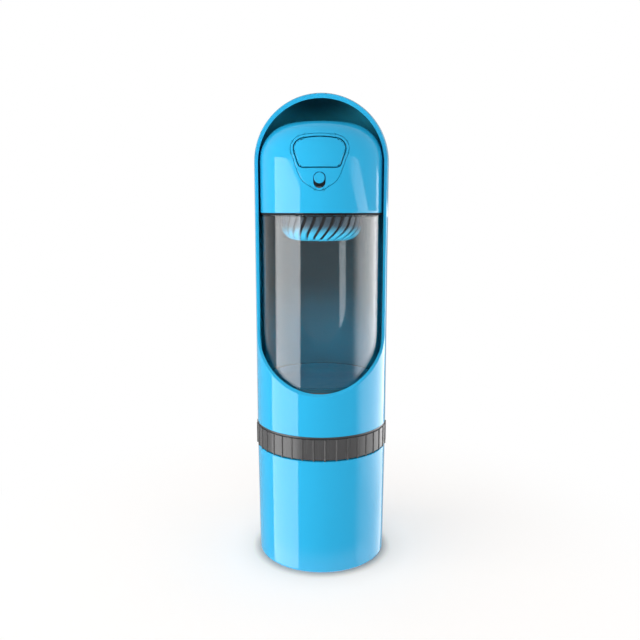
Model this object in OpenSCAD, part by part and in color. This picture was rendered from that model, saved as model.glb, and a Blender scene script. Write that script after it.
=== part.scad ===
// Travel water bottle for a dog, standing on its food cup.
// A clear bottle with a push-button head hangs in a sleeve whose round hood is the
// drinking trough. A ribbed bayonet ring joins the sleeve's base deck to the food cup.
// Origin: centre of the base, on the surface it stands on. +Z up, the buttons face -Y.

/* [Overall] */
// Height from the base to the crown of the hood
overall_h = 260; // [235:1:330]
// Outer radius of the sleeve and of its hood
sleeve_r = 37; // [36:0.5:46]

/* [Food cup] */
// Height of the cup's outer wall
cup_h = 64.6; // [40:0.2:90]
// Thickness of the cup's wall
cup_wall = 1.8; // [1.2:0.1:2.4]
// Thickness of the cup's floor
cup_floor = 2.2; // [1.4:0.1:4]
// How much narrower the cup is at its foot than at its top
cup_taper = 0.65; // [0:0.05:2]
// Rounding of the cup's foot
cup_foot_r = 4.5; // [2:0.1:7]
// Height of the neck that enters the base deck
cup_neck_h = 9.7; // [9:0.1:14]

/* [Bayonet ring] */
// Height of the ribbed ring
ring_h = 11.5; // [11:0.1:16]
// How far the rubber stands out past the sleeve
ring_proud = 0.2; // [0:0.05:0.6]
// Number of grip ribs round the ring
rib_count = 38; // [24:2:60]
// Radius of one rib
rib_r = 0.4; // [0.25:0.05:0.8]
// Number of bayonet lugs
lug_count = 4; // [3:1:4]
// Angle that one lug covers
lug_arc = 30; // [20:1:36]
// Thickness of one lug
lug_h = 1.6; // [1.2:0.1:1.8]

/* [Sleeve] */
// Thickness of the sleeve's wall
sleeve_wall = 1.6; // [1.2:0.1:2.4]
// Extra thickness of the hood at its crown
hood_extra = 0.8; // [0:0.1:2]
// Distance of the window's rim in front of the axis
rim_y = 10.5; // [6:0.5:14]
// Height of the closed skirt below the window, at the front
skirt_h = 22.1; // [20:0.1:34]
// Slope of the window's lower edge
sill_angle = 42.5; // [25:0.5:55]
// Rounding where the window's lower edge turns upright
sill_r = 14; // [6:0.5:20]

/* [Bottle] */
// Gap between the bottle and the inside of the sleeve
bottle_gap = 1.3; // [1:0.1:4]
// Thickness of the bottle's wall
bottle_wall = 1.8; // [1.2:0.1:2.6]
// Height of the bottle's neck
neck_h = 8.2; // [7.6:0.1:12]
// How far the neck's wall is set in from the body
neck_inset = 5.9; // [4.6:0.1:8]
// Rise of the neck's quick thread in one full turn
thread_lead = 12; // [10:0.5:16]
// Angle that each of the three threads covers
thread_arc = 60; // [40:1:60]

/* [Head] */
// Height of the head from its lower edge to its crown
head_h = 48.5; // [44:0.5:60]
// Radius of the head's round shoulder
shoulder_r = 20; // [8:0.5:24]
// Radius of the slightly domed crown
crown_r = 160; // [60:5:300]
// Free height between the crown and the hood
trough_gap = 13.1; // [10:0.1:30]
// Thickness of the head cover
head_wall = 2; // [1.6:0.1:2.8]

/* [Controls] */
// Half width of the push button at its widest
button_half_w = 13.6; // [10:0.1:14.5]
// Height of the push button
button_h = 16; // [14:0.1:18]
// Travel of the push button
button_travel = 3; // [1.5:0.1:3.5]
// Gap all round the push button
button_gap = 0.35; // [0.25:0.05:0.6]
// Width of the control panel's margin round the button
panel_margin = 1.3; // [1:0.1:2]
// Radius of the lock's round peg
peg_r = 2.75; // [2:0.05:3.2]
// Travel of the lock
lock_travel = 2; // [1:0.1:2.4]

/* [Filter] */
// Gap between the filter basket and the bottle's neck
filter_gap = 3.5; // [1.5:0.1:6]
// Depth of the basket below the head
filter_depth = 15; // [12:0.5:40]
// Number of swirl vanes
vane_count = 28; // [16:1:36]
// Width of one vane
vane_w = 3.4; // [1.5:0.1:3.8]
// Thickness of one vane
vane_t = 1.2; // [0.8:0.1:2]
// Angle that a vane sweeps round towards its foot
vane_sweep = 15; // [0:1:40]

/* [Hidden] */
$fn = 96;
outline_fn = 40;         // points on a full circle of a hulled outline
crown_fn = 384;          // points on the crown's circle, which shows only a short arc
eps = 0.01;              // overlap that joins two shapes of one piece
over = 1;                // how far a cut runs past the face it cuts
far = 60;                // longer than any cut needs to be
root_sink = 0.5;         // how far a lug or a thread is sunk into its wall
loose = 0.3;             // clearance between pieces that slide or turn
running = 0.08;          // radial clearance of the valve stem
snug = 0.05;             // clearance of a pressed or bonded ring

// ---- stack of heights, from the base up ----
ring_gap = 0.7;                          // shadow gap between the cup and the ring
ring_z = cup_h + ring_gap;
flange_t = 0.9;                          // deck flange between ring and sleeve
flange_z = ring_z + ring_h + loose;
sleeve_z = flange_z + flange_t;
deck_t = 1.5;                            // top plate of the deck
deck_drop = 1.5;                         // deck plate below the window's sill
deck_z = sleeve_z + skirt_h - deck_drop;
seat_floor = 2.1;                        // seat pad under the bottle's foot
seat_h = 4.6;                            // seat pad to the top of its rim
bottle_z = deck_z + seat_h;              // shoulder above the bottle's foot
hood_t = sleeve_wall + hood_extra;
crown_z = overall_h - hood_t - trough_gap;
head_z = crown_z - head_h;
seam_t = 1;                              // black gasket line under the head
neck_z = head_z - seam_t;                // top of the bottle's shoulder

// ---- radii, from the outside in ----
sleeve_ri = sleeve_r - sleeve_wall;
deck_r = sleeve_ri - loose;
deck_wall = 1.5;
deck_ri = deck_r - deck_wall;
body_r = sleeve_ri - bottle_gap;         // bottle and head
body_ri = body_r - bottle_wall;
neck_r = body_r - neck_inset;
neck_ri = neck_r - bottle_wall;
cup_neck_r = deck_ri - 2 * loose;
cup_neck_ri = cup_neck_r - cup_wall;
cup_inset = 0.1;                         // cup and flange inside the sleeve's line
flange_inset = 0.2;
cup_top_r = sleeve_r - cup_inset;

// ---- hood and window ----
hood_z = overall_h - sleeve_r;
sill_z = sleeve_z + skirt_h;

// ---- food cup and bayonet ----
neck_root = 3;                           // depth of the neck inside the cup's wall
lug_reach = 1.9;
lug_up = 0.1;
lug_z = ring_z + lug_up;                 // underside of the ring's own lugs
lug_play = 0.4;
cup_lug_z = lug_z + lug_h + lug_play;
cup_lug_r = cup_neck_r + lug_reach;
deck_foot_gap = 1.1;
deck_foot_z = cup_lug_z + lug_h + deck_foot_gap;   // lower end of the deck's tube
bead_h = 1.2;                            // snap bead that carries the ring
bead_r = 0.8;
bead_up = 1.5;                           // bead above the tube's lower end
bead_z = deck_foot_z + bead_up;
hard_ring_ri = deck_r + loose;
hard_ring_wall = 1.2;
hard_ring_r = hard_ring_ri + hard_ring_wall;
grip_ri = hard_ring_r + snug;
grip_r = sleeve_r + ring_proud;
rib_drop = 0.4;                          // ribs hang below the ring's edge
cup_neck_z = cup_h + cup_neck_h;
seal_t = 1.3;
lid_t = 1.6;
lid_z = cup_neck_z + seal_t;
ledge_t = 1.8;
ledge_w = 2;

// ---- bottle neck, housing and quick thread ----
foot_inset = 3.7;                        // bottle foot inside the seat's rim
foot_r = body_r - foot_inset;
neck_top_z = neck_z + neck_h;
washer_t = 1.3;
plate_z = neck_top_z + washer_t;         // underside of the housing's plate
plate_t = 2;
plate_top = plate_z + plate_t;
cover_ri = body_r - head_wall;
skirt_r = cover_ri - snug;
thread_depth = 1.2;
thread_t = 1.4;
thread_starts = 3;
thread_steps = 8;
thread_pitch = thread_lead / thread_starts;
thread_play = 0.4;                       // radial clearance of the threads
skirt_ri = neck_r + thread_depth + thread_play;
male_up = 4.4;                           // thread's lower end above the shoulder
male_z = neck_z + male_up;
female_z = male_z - thread_pitch / 2;
gasket_play = 0.1;
gasket_lip = 0.8;                        // gasket reaches in past the cover's wall
gasket_inset = 0.2;
washer_inset = 0.2;

// ---- head cover and its controls ----
shoulder_up = 1;                         // shoulder's centre above the hood's centre
shoulder_z = hood_z + shoulder_up;
shoulder_x = body_r - shoulder_r;
button_z = head_z + 22.6;                // lower edge of the button
button_top = button_z + button_h;
corner_low = 3.2;
corner_high = 4.6;
button_taper = 2.1;                      // narrower by this at its lower edge
button_arch = 0.7;                       // its top edge rises by this to the middle
corner_low_x = button_half_w - button_taper - corner_low;
corner_high_x = button_half_w - corner_high;
corner_high_z = button_top - corner_high - button_arch;
arch_steps = 6;                          // circles that the arched edge is hulled from
peg_z = head_z + 17.6;
panel_t = 3.3;                           // panel from its face to its back
panel_lip = 1.5;                         // flange behind the cover
panel_tip_r = 5.5;
panel_tip_z = peg_z - 0.7;
panel_mid_r = 11.5;
panel_mid_z = peg_z + 6.4;
button_wall = 1.4;
face_t = 2;
flange_y = 25.2;                         // front of the button's stop flange
stop_t = 1.2;
stop_w = 1;
stop_top = button_z + 12;
stop_foot = 3;                           // whole foot of the stop flange
stop_play = 0.2;
frame_y = flange_y - stop_t - button_travel - stop_play;
frame_t = 1.8;
frame_half_w = 21.3;
frame_z = plate_top + 1;
frame_top = head_z + 36;
boss_x = 18.8;
boss_r = 2.2;
boss_play = 0.1;
boss_zs = [head_z + 15.5, head_z + 30.5];
screw_r = 1;
screw_head_r = 2;
screw_head_t = 1.6;
screw_l = 7;
screw_play = 0.1;
screw_extra = 0.5;                       // hole deeper than the screw
slot_half = 1.2;                         // cross slot in the screw's head
slot_w = 0.5;
slot_t = 0.9;
peg_proud = 0.8;
peg_chamfer = 0.4;
slide_y = 29.3;                          // front of the lock's sliding plate
slide_t = 1.5;
slide_half_w = 5;
slide_up = 3;
pad_half_w = 4;                          // frame's pad behind the lock

// ---- valve ----
seat_hole_r = 5;
chamber_r = 8;
chamber_wall = 1.6;
chamber_h = 7;
roof_t = 2;
roof_z = plate_top + chamber_h;
stem_r = 2;
plug_r = 7.5;
plug_t = 1.6;
valve_seal_t = 1.4;
plug_z = plate_z - valve_seal_t - plug_t;
spring_z = roof_z + roof_t;
spring_h = 8.4;
spring_r = 4.8;
wire_r = 0.4;
wire_sides = 6;
spring_turns = 4;
turn_steps = 20;
stem_flange_t = 1;
stem_flange_r = 6;
wedge_z = spring_z + spring_h + stem_flange_t;
wedge_half = 4;
wedge_half_w = 3;
wedge_h = 8;
wedge_gap = 0.2;
wedge_lip = 1;                           // height of the wedge at its low end
wedge_k = wedge_z + wedge_half + wedge_lip;   // its sloping face lies where z - y = wedge_k
tongue_half_w = 2.6;
tongue_up = 2.5;
tongue_z = wedge_z + tongue_up;
tongue_t = 4.5;
tongue_tip = 2;
tongue_space = 3;                        // stop flange stays this far from the tongue
gland_r = 3.6;
gland_t = 1.2;
spout_y = 14;
spout_r = 4.4;
spout_bore = 3.2;
spout_boss_r = 6.4;
spout_proud = 1.6;
spout_lip_w = 1;
spout_lip_edge = 0.2;
spout_lip_up = 0.1;
duct_r = 2;
duct_up = 0.2;
vent_x = -14;
vent_y = 6;
vent_hole_r = 1.2;
vent_cap_r = 3.4;
vent_cap_top_r = 2;
vent_cap_h = 1;
vent_barb_r = 1.6;
vent_barb_h = 1.2;
seal_z = plate_top;                      // trough seal round the head's back
trough_seal_h = 3;
trough_seal_play = 0.1;
seal_arc = 150;
groove_depth = 0.6;
groove_end = 1;                          // groove past each end of the seal, degrees

// ---- filter ----
basket_r = neck_ri - filter_gap;
basket_wall = 1.5;
basket_z = head_z - filter_depth;
basket_corner = 6.5;
vane_inset = 0.3;
vane_r = basket_r - vane_inset;
vane_root = 2;                           // vane's top inside the collar
collar_drop = 1.5;                       // collar below the bottle's shoulder
collar_z = neck_z - collar_drop;
vane_top = collar_z + vane_root;
collar_top = plate_z - loose;
spigot_play = 0.2;
spigot_r = basket_r - basket_wall - spigot_play;
spigot_wall = 1.4;
spigot_h = 5.5;
hub_margin = 2.1;                        // hub past the straight foot of the vanes
hub_r = vane_r - basket_corner + hub_margin;
hub_t = 1.6;
cartridge_play = 0.9;
cartridge_r = basket_r - basket_wall - cartridge_play;
cartridge_corner = 5;
cartridge_up = 2;                        // cartridge's top inside the collar
cartridge_top = collar_z + cartridge_up;
filter_cap_t = 1.6;
cap_hole_count = 6;
cap_hole_x = 10;
cap_hole_r = 2.4;

shell_blue = [0.22, 0.70, 0.93];
shell_dark = [0.35, 0.35, 0.36];

// ---- helpers ----

// Ring round the Z axis
module tube(ri, ro, z0, z1) {
    translate([0, 0, z0]) difference() {
        cylinder(r = ro, h = z1 - z0);
        translate([0, 0, -over]) cylinder(r = ri, h = z1 - z0 + 2 * over);
    }
}

// Part of a ring, centred on an angle
module arc_block(ri, ro, z0, z1, middle, arc) {
    rotate(middle - arc / 2) translate([0, 0, z0]) rotate_extrude(angle = arc)
        translate([ri, 0]) square([ro - ri, z1 - z0]);
}

// Outline in the front view, drawn out from y = -near to y = -away
module front_extrude(near, away) {
    translate([0, -near, 0]) rotate([90, 0, 0]) linear_extrude(height = away - near) children();
}

// Closed section, given in radius and height, swept along a helix
module helix_sweep(section, lead, angle, z0, steps) {
    n = len(section);
    points = [for (i = [0:steps]) let (a = angle * i / steps) for (p = section)
        [p[0] * cos(a), p[0] * sin(a), z0 + p[1] + lead * a / 360]];
    sides = [for (i = [0:steps - 1]) for (j = [0:n - 1])
        [i * n + j, i * n + (j + 1) % n, (i + 1) * n + (j + 1) % n, (i + 1) * n + j]];
    polyhedron(points = points, convexity = 6, faces = concat(sides,
        [[for (j = [n - 1:-1:0]) j]], [[for (j = [0:n - 1]) steps * n + j]]));
}

// ---- food cup ----

module cup_outline(inset, floor_z) {
    foot_x = cup_top_r - cup_taper - inset;
    round_r = cup_foot_r - inset;
    translate([foot_x - round_r, floor_z + round_r]) circle(r = round_r);
    translate([0, floor_z]) square([foot_x - round_r, round_r]);
    polygon([[0, floor_z + round_r], [foot_x, floor_z + round_r],
        [cup_top_r - inset, cup_h], [0, cup_h]]);
}

module food_cup() {
    color(shell_blue) {
        difference() {
            union() {
                rotate_extrude() cup_outline(0, 0);
                translate([0, 0, cup_h - neck_root])
                    cylinder(r = cup_neck_r, h = neck_root + cup_neck_h);
            }
            rotate_extrude() intersection() {
                cup_outline(cup_wall, cup_floor);
                square([far, cup_h - neck_root]);
            }
            translate([0, 0, cup_h - neck_root - over])
                cylinder(r = cup_neck_ri, h = cup_neck_h + neck_root + 2 * over);
        }
        for (i = [0:lug_count - 1])
            arc_block(cup_neck_r - cup_wall / 2, cup_lug_r, cup_lug_z, cup_lug_z + lug_h,
                i * 360 / lug_count, lug_arc);
    }
}

// ---- base deck and lid ----

module base_deck() {
    color(shell_dark) {
        tube(deck_ri, deck_r, deck_foot_z, deck_z);
        tube(deck_r - eps, sleeve_r - flange_inset, flange_z, sleeve_z);
        tube(deck_r - eps, deck_r + bead_r - loose, bead_z, bead_z + bead_h);
        tube(deck_ri - ledge_w, deck_ri + eps, lid_z + lid_t, lid_z + lid_t + ledge_t);
        translate([0, 0, deck_z - deck_t]) cylinder(r = deck_ri + eps, h = deck_t);
    }
}

module food_lid() {
    color(shell_dark) translate([0, 0, lid_z]) {
        cylinder(r = deck_ri - snug, h = lid_t);
        translate([0, 0, -seal_t]) difference() {
            cylinder(r = cup_neck_ri - loose, h = seal_t + eps);
            translate([0, 0, -over])
                cylinder(r = cup_neck_ri - loose - deck_wall, h = seal_t + over);
        }
    }
}

module food_seal() {
    color("dimgray") tube(cup_neck_ri - loose + snug, deck_ri - snug, cup_neck_z, lid_z);
}

// ---- twist ring ----

module bayonet_ring() {
    color(shell_dark) {
        difference() {
            tube(hard_ring_ri, hard_ring_r, ring_z, ring_z + ring_h);
            tube(hard_ring_ri - over, hard_ring_ri + bead_r, bead_z - loose,
                bead_z + bead_h + loose);
        }
        for (i = [0:lug_count - 1])
            arc_block(cup_neck_r + loose, hard_ring_ri + root_sink, lug_z, lug_z + lug_h,
                (i + 0.5) * 360 / lug_count, lug_arc);
    }
}

module grip_ring() {
    color("dimgray") {
        tube(grip_ri, grip_r, ring_z, ring_z + ring_h);
        for (i = [0:rib_count - 1]) rotate(i * 360 / rib_count)
            translate([grip_r, 0, ring_z - rib_drop]) cylinder(r = rib_r, h = ring_h + rib_drop);
    }
}

// ---- bottle and its seat ----

module bottle_seat() {
    color([0.45, 0.36, 0.33]) {
        translate([0, 0, deck_z]) cylinder(r = body_r, h = seat_floor);
        tube(foot_r + loose, body_r, deck_z + seat_floor - eps, bottle_z);
    }
}

module water_bottle() {
    base_z = deck_z + seat_floor;
    color([0.25, 0.30, 0.34, 0.45]) {
        difference() {
            union() {
                translate([0, 0, base_z]) cylinder(r = foot_r, h = seat_h);
                translate([0, 0, bottle_z]) cylinder(r = body_r, h = neck_z - bottle_z);
                translate([0, 0, neck_z - root_sink])
                    cylinder(r = neck_r, h = neck_h + root_sink);
            }
            translate([0, 0, base_z + bottle_wall])
                cylinder(r = foot_r - bottle_wall, h = seat_h);
            translate([0, 0, bottle_z + bottle_wall])
                cylinder(r = body_ri, h = neck_z - bottle_z - 2 * bottle_wall);
            translate([0, 0, neck_z - bottle_wall - over])
                cylinder(r = neck_ri, h = neck_h + bottle_wall + 2 * over);
        }
        for (i = [0:thread_starts - 1]) rotate(i * 360 / thread_starts)
            helix_sweep([[neck_r - root_sink, -thread_t / 2],
                [neck_r + thread_depth, -thread_t / 4], [neck_r + thread_depth, thread_t / 4],
                [neck_r - root_sink, thread_t / 2]],
                thread_lead, thread_arc, male_z, thread_steps);
    }
}

module seam_gasket() {
    color([0.06, 0.07, 0.08])
        tube(cover_ri - gasket_lip, body_r - gasket_inset, neck_z + gasket_play,
            head_z - gasket_play);
}

// ---- housing in the head ----

module valve_housing() {
    crest = neck_r + thread_play;
    root = skirt_ri + root_sink;
    color("lightsteelblue") {
        difference() {
            union() {
                tube(skirt_ri, skirt_r, head_z, plate_z + eps);
                translate([0, 0, plate_z]) cylinder(r = skirt_r, h = plate_t);
                translate([0, 0, plate_z]) cylinder(r = chamber_r + chamber_wall,
                    h = plate_t + chamber_h + roof_t);
                translate([0, spout_y, plate_z])
                    cylinder(r = spout_boss_r, h = plate_t + chamber_h);
                tube(spigot_r - spigot_wall, spigot_r, plate_z - spigot_h, plate_z + eps);
            }
            translate([0, 0, plate_z - over]) cylinder(r = seat_hole_r, h = plate_t + 2 * over);
            translate([0, 0, plate_top]) cylinder(r = chamber_r, h = chamber_h);
            translate([0, 0, roof_z - over])
                cylinder(r = stem_r + running, h = roof_t + 2 * over);
            translate([0, 0, spring_z - gland_t]) cylinder(r = gland_r, h = gland_t + over);
            translate([0, spout_y, plate_top]) cylinder(r = spout_bore, h = chamber_h + over);
            translate([0, spout_y, plate_top + chamber_h / 2])
                cylinder(r = spout_r + snug, h = chamber_h);
            translate([0, chamber_r - over, plate_top + duct_r + duct_up]) rotate([-90, 0, 0])
                cylinder(r = duct_r, h = spout_y - chamber_r + over);
            translate([vent_x, vent_y, plate_z - over])
                cylinder(r = vent_hole_r, h = plate_t + 2 * over);
        }
        for (i = [0:thread_starts - 1]) rotate(i * 360 / thread_starts)
            helix_sweep([[crest, -thread_t / 4], [root, -thread_t / 2],
                [root, thread_t / 2], [crest, thread_t / 4]],
                thread_lead, thread_arc, female_z, thread_steps);
    }
}

module neck_washer() {
    color("dimgray") tube(neck_ri + washer_inset, skirt_ri - snug, neck_top_z, plate_z);
}

module head_profile(inset) {
    intersection() {
        hull() {
            square([body_r - inset, shoulder_z]);
            translate([shoulder_x, shoulder_z]) circle(r = shoulder_r - inset);
            square([shoulder_x, crown_z]);
        }
        translate([0, crown_z - crown_r]) circle(r = crown_r - inset, $fn = crown_fn);
        translate([0, head_z]) square([far, head_h]);
    }
}

module head_shell(outer, inner) {
    rotate_extrude() difference() {
        head_profile(outer);
        head_profile(inner);
        translate([0, head_z - over]) square([body_r - inner, 2 * over]);
    }
}

// Copies its child along the button's arched upper edge.
module arch_row() {
    for (i = [0:arch_steps]) let (t = 2 * i / arch_steps - 1)
        translate([t * corner_high_x, corner_high_z + button_arch * (1 - t * t)]) children();
}

module panel_2d(grow) {
    hull() {
        translate([0, panel_tip_z]) circle(r = panel_tip_r + grow, $fn = outline_fn);
        translate([0, panel_mid_z]) circle(r = panel_mid_r + grow, $fn = outline_fn);
        arch_row() circle(r = corner_high + panel_margin + grow, $fn = outline_fn);
    }
}

module button_2d(grow) {
    hull() {
        for (s = [-1, 1]) translate([s * corner_low_x, button_z + corner_low])
            circle(r = corner_low + grow, $fn = outline_fn);
        arch_row() circle(r = corner_high + grow, $fn = outline_fn);
    }
}

module boss_axes(y) {
    for (s = [-1, 1]) for (z = boss_zs) translate([s * boss_x, -y, z]) rotate([90, 0, 0])
        children();
}

module head_cover() {
    color(shell_blue) difference() {
        union() {
            head_shell(0, head_wall);
            intersection() {
                rotate_extrude() head_profile(head_wall / 2);
                boss_axes(frame_y + boss_play) cylinder(r = boss_r, h = far);
            }
        }
        front_extrude(shoulder_x, far) panel_2d(loose / 2);
        boss_axes(frame_y)
            cylinder(r = screw_r + screw_play, h = screw_l - frame_t + screw_extra);
        translate([0, spout_y, crown_z - 2 * head_wall])
            cylinder(r = spout_r + snug, h = 3 * head_wall);
        arc_block(body_r - groove_depth, body_r + over, seal_z, seal_z + trough_seal_h, 90,
            seal_arc + 2 * groove_end);
    }
}

module trough_seal() {
    color("dimgray") arc_block(body_r - groove_depth + snug, sleeve_ri - trough_seal_play,
        seal_z + snug, seal_z + trough_seal_h - snug, 90, seal_arc);
}

// ---- controls on the front of the head ----

module control_panel() {
    color(shell_blue) difference() {
        union() {
            intersection() {
                head_shell(0, panel_t);
                front_extrude(shoulder_x, far) panel_2d(0);
            }
            intersection() {
                head_shell(head_wall + snug, panel_t);
                front_extrude(shoulder_x, far) panel_2d(panel_lip);
            }
        }
        translate([0, 0, plate_top + snug - far]) cylinder(r = far, h = far);
        front_extrude(shoulder_x - over, far) button_2d(0);
        front_extrude(shoulder_x - over, far) hull() {
            for (dz = [0, lock_travel]) translate([0, peg_z - dz])
                circle(r = peg_r + loose, $fn = outline_fn);
        }
    }
}

module release_button() {
    color(shell_blue) {
        difference() {
            intersection() {
                rotate_extrude() head_profile(0);
                front_extrude(flange_y, far) button_2d(-button_gap);
            }
            intersection() {
                rotate_extrude() head_profile(face_t);
                front_extrude(flange_y - over, far) button_2d(-button_gap - button_wall);
            }
        }
        difference() {
            front_extrude(flange_y - stop_t, flange_y + eps) intersection() {
                button_2d(stop_w);
                translate([-far / 2, button_z - 2 * stop_w])
                    square([far, stop_top - button_z + 2 * stop_w]);
            }
            front_extrude(flange_y - stop_t - over, flange_y + over)
                translate([-tongue_half_w - tongue_space, button_z + stop_foot])
                    square([2 * (tongue_half_w + tongue_space), far]);
        }
        difference() {
            intersection() {
                translate([-tongue_half_w, -body_r, tongue_z])
                    cube([2 * tongue_half_w, body_r + tongue_tip, tongue_t]);
                rotate_extrude() head_profile(face_t / 2);
            }
            wedge_cut(wedge_k + wedge_gap * sqrt(2), -1);
        }
    }
}

// Everything on one side of the sloping plane z - y = k
module wedge_cut(k, side) {
    translate([0, 0, k]) rotate([45, 0, 0])
        translate([-far / 2, -far, side > 0 ? 0 : -far]) cube([far, 2 * far, far]);
}

module lock_slider() {
    tip_y = body_r + peg_proud;
    color(shell_blue) {
        translate([0, -slide_y, peg_z]) rotate([90, 0, 0]) {
            translate([0, 0, -eps]) cylinder(r = peg_r, h = tip_y - slide_y - peg_chamfer + eps);
            translate([0, 0, tip_y - slide_y - peg_chamfer])
                cylinder(r1 = peg_r, r2 = peg_r - peg_chamfer, h = peg_chamfer);
        }
        translate([-slide_half_w, -slide_y, frame_z + lock_travel + loose])
            cube([2 * slide_half_w, slide_t, peg_z + slide_up - frame_z - lock_travel - loose]);
    }
}

module retainer_frame() {
    color("lightsteelblue") difference() {
        union() {
            translate([-frame_half_w, -frame_y, frame_z])
                cube([2 * frame_half_w, frame_t, frame_top - frame_z]);
            translate([-pad_half_w, -slide_y + slide_t + loose, frame_z])
                cube([2 * pad_half_w, slide_y - slide_t - loose - frame_y + eps,
                    peg_z + slide_up - frame_z]);
        }
        translate([-tongue_half_w - loose, -far / 2, tongue_z - loose])
            cube([2 * (tongue_half_w + loose), far, tongue_t + 2 * loose]);
        boss_axes(frame_y - frame_t - over)
            cylinder(r = screw_r + screw_play, h = frame_t + 2 * over);
    }
}

module frame_screws() {
    color("silver") boss_axes(frame_y - frame_t) {
        cylinder(r = screw_r, h = screw_l);
        translate([0, 0, -screw_head_t]) difference() {
            cylinder(r = screw_head_r, h = screw_head_t);
            for (a = [0, 90]) rotate(a) translate([-slot_half, -slot_w / 2, -over])
                cube([2 * slot_half, slot_w, slot_t + over]);
        }
    }
}

// ---- valve ----

module valve_stem() {
    color("silver") {
        translate([0, 0, plug_z]) cylinder(r = plug_r, h = plug_t);
        translate([0, 0, plug_z]) cylinder(r = stem_r, h = wedge_z - plug_z);
        translate([0, 0, wedge_z - stem_flange_t]) cylinder(r = stem_flange_r, h = stem_flange_t);
        difference() {
            translate([-wedge_half_w, -wedge_half, wedge_z - eps])
                cube([2 * wedge_half_w, 2 * wedge_half, wedge_h]);
            wedge_cut(wedge_k, 1);
        }
    }
}

module valve_seal() {
    color("dimgray") tube(stem_r + snug, plug_r - loose, plug_z + plug_t, plate_z);
}

module stem_seal() {
    color("dimgray") tube(stem_r + running, gland_r - snug, spring_z - gland_t,
        spring_z - 2 * snug);
}

module valve_spring() {
    coil_h = spring_h - 2 * wire_r;
    wire = [for (j = [0:wire_sides - 1]) let (a = 360 * j / wire_sides)
        [spring_r + wire_r * cos(a), wire_r * sin(a)]];
    color("silver") helix_sweep(wire, coil_h / spring_turns, 360 * spring_turns,
        spring_z + wire_r, turn_steps * spring_turns);
}

module outlet_spout() {
    foot_z = plate_top + chamber_h / 2;
    top_z = crown_z + spout_proud;
    lip_h = spout_proud - spout_lip_up;
    color("dimgray") translate([0, spout_y, 0]) {
        tube(spout_bore, spout_r, foot_z, top_z);
        translate([0, 0, crown_z + spout_lip_up]) difference() {
            cylinder(r1 = spout_r + spout_lip_w, r2 = spout_r + spout_lip_edge, h = lip_h);
            translate([0, 0, -over]) cylinder(r = spout_bore, h = lip_h + 2 * over);
        }
    }
}

module vent_valve() {
    stalk_r = vent_hole_r - snug;
    color("dimgray") translate([vent_x, vent_y, 0]) {
        translate([0, 0, plate_top]) cylinder(r1 = vent_cap_r, r2 = vent_cap_top_r, h = vent_cap_h);
        translate([0, 0, plate_z - vent_barb_h]) {
            cylinder(r = stalk_r, h = plate_t + vent_barb_h + eps);
            cylinder(r1 = stalk_r, r2 = vent_barb_r, h = vent_barb_h - snug);
        }
    }
}

// ---- filter ----

// One swirl vane: straight down the basket, then round its corner to the hub
module vane() {
    straight = 3;
    round_steps = 5;
    corner_z = basket_z + basket_corner;
    corner_x = vane_r - basket_corner;
    last_turn = 75;
    stations = concat(
        [for (i = [0:straight - 1]) let (z = vane_top + (corner_z - vane_top) * i / straight)
            [vane_r, z, 0]],
        [for (i = [0:round_steps]) let (t = last_turn * i / round_steps)
            [corner_x + basket_corner * cos(t), corner_z - basket_corner * sin(t), t]]);
    drop = vane_top - basket_z;
    points = [for (s = stations) let (
            fall = (vane_top - s[1]) / drop,
            a = -vane_sweep * fall * fall,
            r_in = s[0] - vane_t * cos(s[2]),
            z_in = s[1] + vane_t * sin(s[2]),
            half = vane_w / 2 * s[0] / vane_r)
        for (c = [[s[0], s[1], -half], [s[0], s[1], half], [r_in, z_in, half], [r_in, z_in, -half]])
            [c[0] * cos(a) - c[2] * sin(a), c[0] * sin(a) + c[2] * cos(a), c[1]]];
    last = len(stations) - 1;
    sides = [for (i = [0:last - 1]) for (j = [0:3])
        [4 * i + j, 4 * i + (j + 1) % 4, 4 * i + 4 + (j + 1) % 4, 4 * i + 4 + j]];
    polyhedron(points = points, convexity = 4,
        faces = concat(sides, [[3, 2, 1, 0]], [[for (j = [0:3]) 4 * last + j]]));
}

module filter_basket() {
    color(shell_blue) {
        tube(basket_r - basket_wall, basket_r, collar_z, collar_top);
        translate([0, 0, basket_z]) cylinder(r = hub_r, h = hub_t);
        for (i = [0:vane_count - 1]) rotate(i * 360 / vane_count) vane();
    }
}

module filter_cartridge() {
    base = basket_z + hub_t + loose;
    color([0.1, 0.1, 0.1]) rotate_extrude() {
        translate([0, base]) square([cartridge_r - cartridge_corner, cartridge_corner]);
        translate([cartridge_r - cartridge_corner, base + cartridge_corner])
            intersection() {
                circle(r = cartridge_corner);
                translate([0, -far]) square([far, far]);
            }
        translate([0, base + cartridge_corner - eps])
            square([cartridge_r, cartridge_top - base - cartridge_corner + eps]);
    }
}

module filter_cap() {
    color(shell_dark) difference() {
        translate([0, 0, cartridge_top])
            cylinder(r = spigot_r - spigot_wall - 2 * snug, h = filter_cap_t);
        for (i = [0:cap_hole_count - 1]) rotate(i * 360 / cap_hole_count)
            translate([cap_hole_x, 0, cartridge_top - over])
                cylinder(r = cap_hole_r, h = filter_cap_t + 2 * over);
    }
}

// ---- sleeve with its hood and window ----

// Upright tube's outside, closed by half a ball
module capsule(r, ball_z, foot_z) {
    translate([0, 0, foot_z]) cylinder(r = r, h = ball_z - foot_z);
    translate([0, 0, ball_z]) sphere(r = r);
}

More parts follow.
